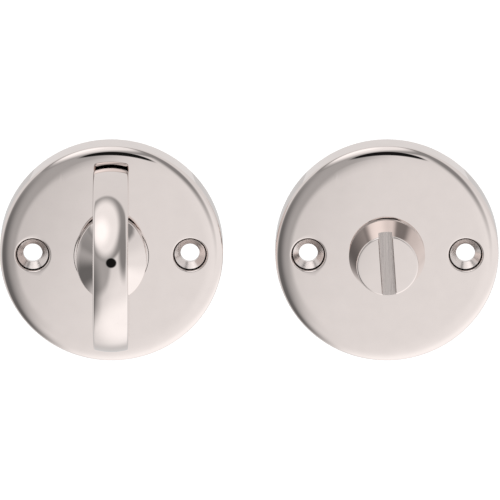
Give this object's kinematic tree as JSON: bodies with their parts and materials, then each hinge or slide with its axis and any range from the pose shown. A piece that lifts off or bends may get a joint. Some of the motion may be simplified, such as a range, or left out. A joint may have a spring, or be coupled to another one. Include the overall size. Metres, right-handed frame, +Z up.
{
  "type": "bathroom door turn and release",
  "caption": "Round face-fixed roses, side by side: one with a half-moon thumbturn and square spindle, one with a coin-slot release; each turns a quarter turn.",
  "frame": {"origin": "on the thumbturn's axis, at the back face of its rose, which lies on the door face", "axes": "+X from the turn's rose to the release's rose, +Y into the door, +Z up; the roses face -Y"},
  "size_m": [0.1206, 0.0879, 0.054],
  "materials": {
    "polished_nickel": "polished nickel plate on brass, warm",
    "nylon": "natural nylon, satin",
    "zinc_steel": "zinc-plated steel",
    "spring_steel": "oiled spring steel"
  },
  "bodies": {
    "roses": {"turn_rose": "polished_nickel", "turn_collar": "polished_nickel", "turn_bush": "nylon", "turn_thrust_washer": "nylon", "turn_spring_washer": "spring_steel", "release_rose": "polished_nickel", "release_collar": "polished_nickel", "release_bush": "nylon", "release_thrust_washer": "nylon", "release_spring_washer": "spring_steel"},
    "turn": {"thumbturn": "polished_nickel", "turn_spindle": "zinc_steel", "spindle_pin": "spring_steel", "turn_stop_washer": "zinc_steel", "turn_circlip": "spring_steel"},
    "release": {"release_button": "polished_nickel", "release_stop_washer": "zinc_steel", "release_circlip": "spring_steel"}
  },
  "joints": [
    {"name": "turn_rotation", "type": "hinge", "parent": "roses", "child": "turn", "pos_m": [0, 0, 0], "axis": [0, 1, 0], "range_deg": [0, 90]},
    {"name": "release_rotation", "type": "hinge", "parent": "roses", "child": "release", "pos_m": [0.0666, 0, 0], "axis": [0, 1, 0], "range_deg": [-86, 4]}
  ]
}
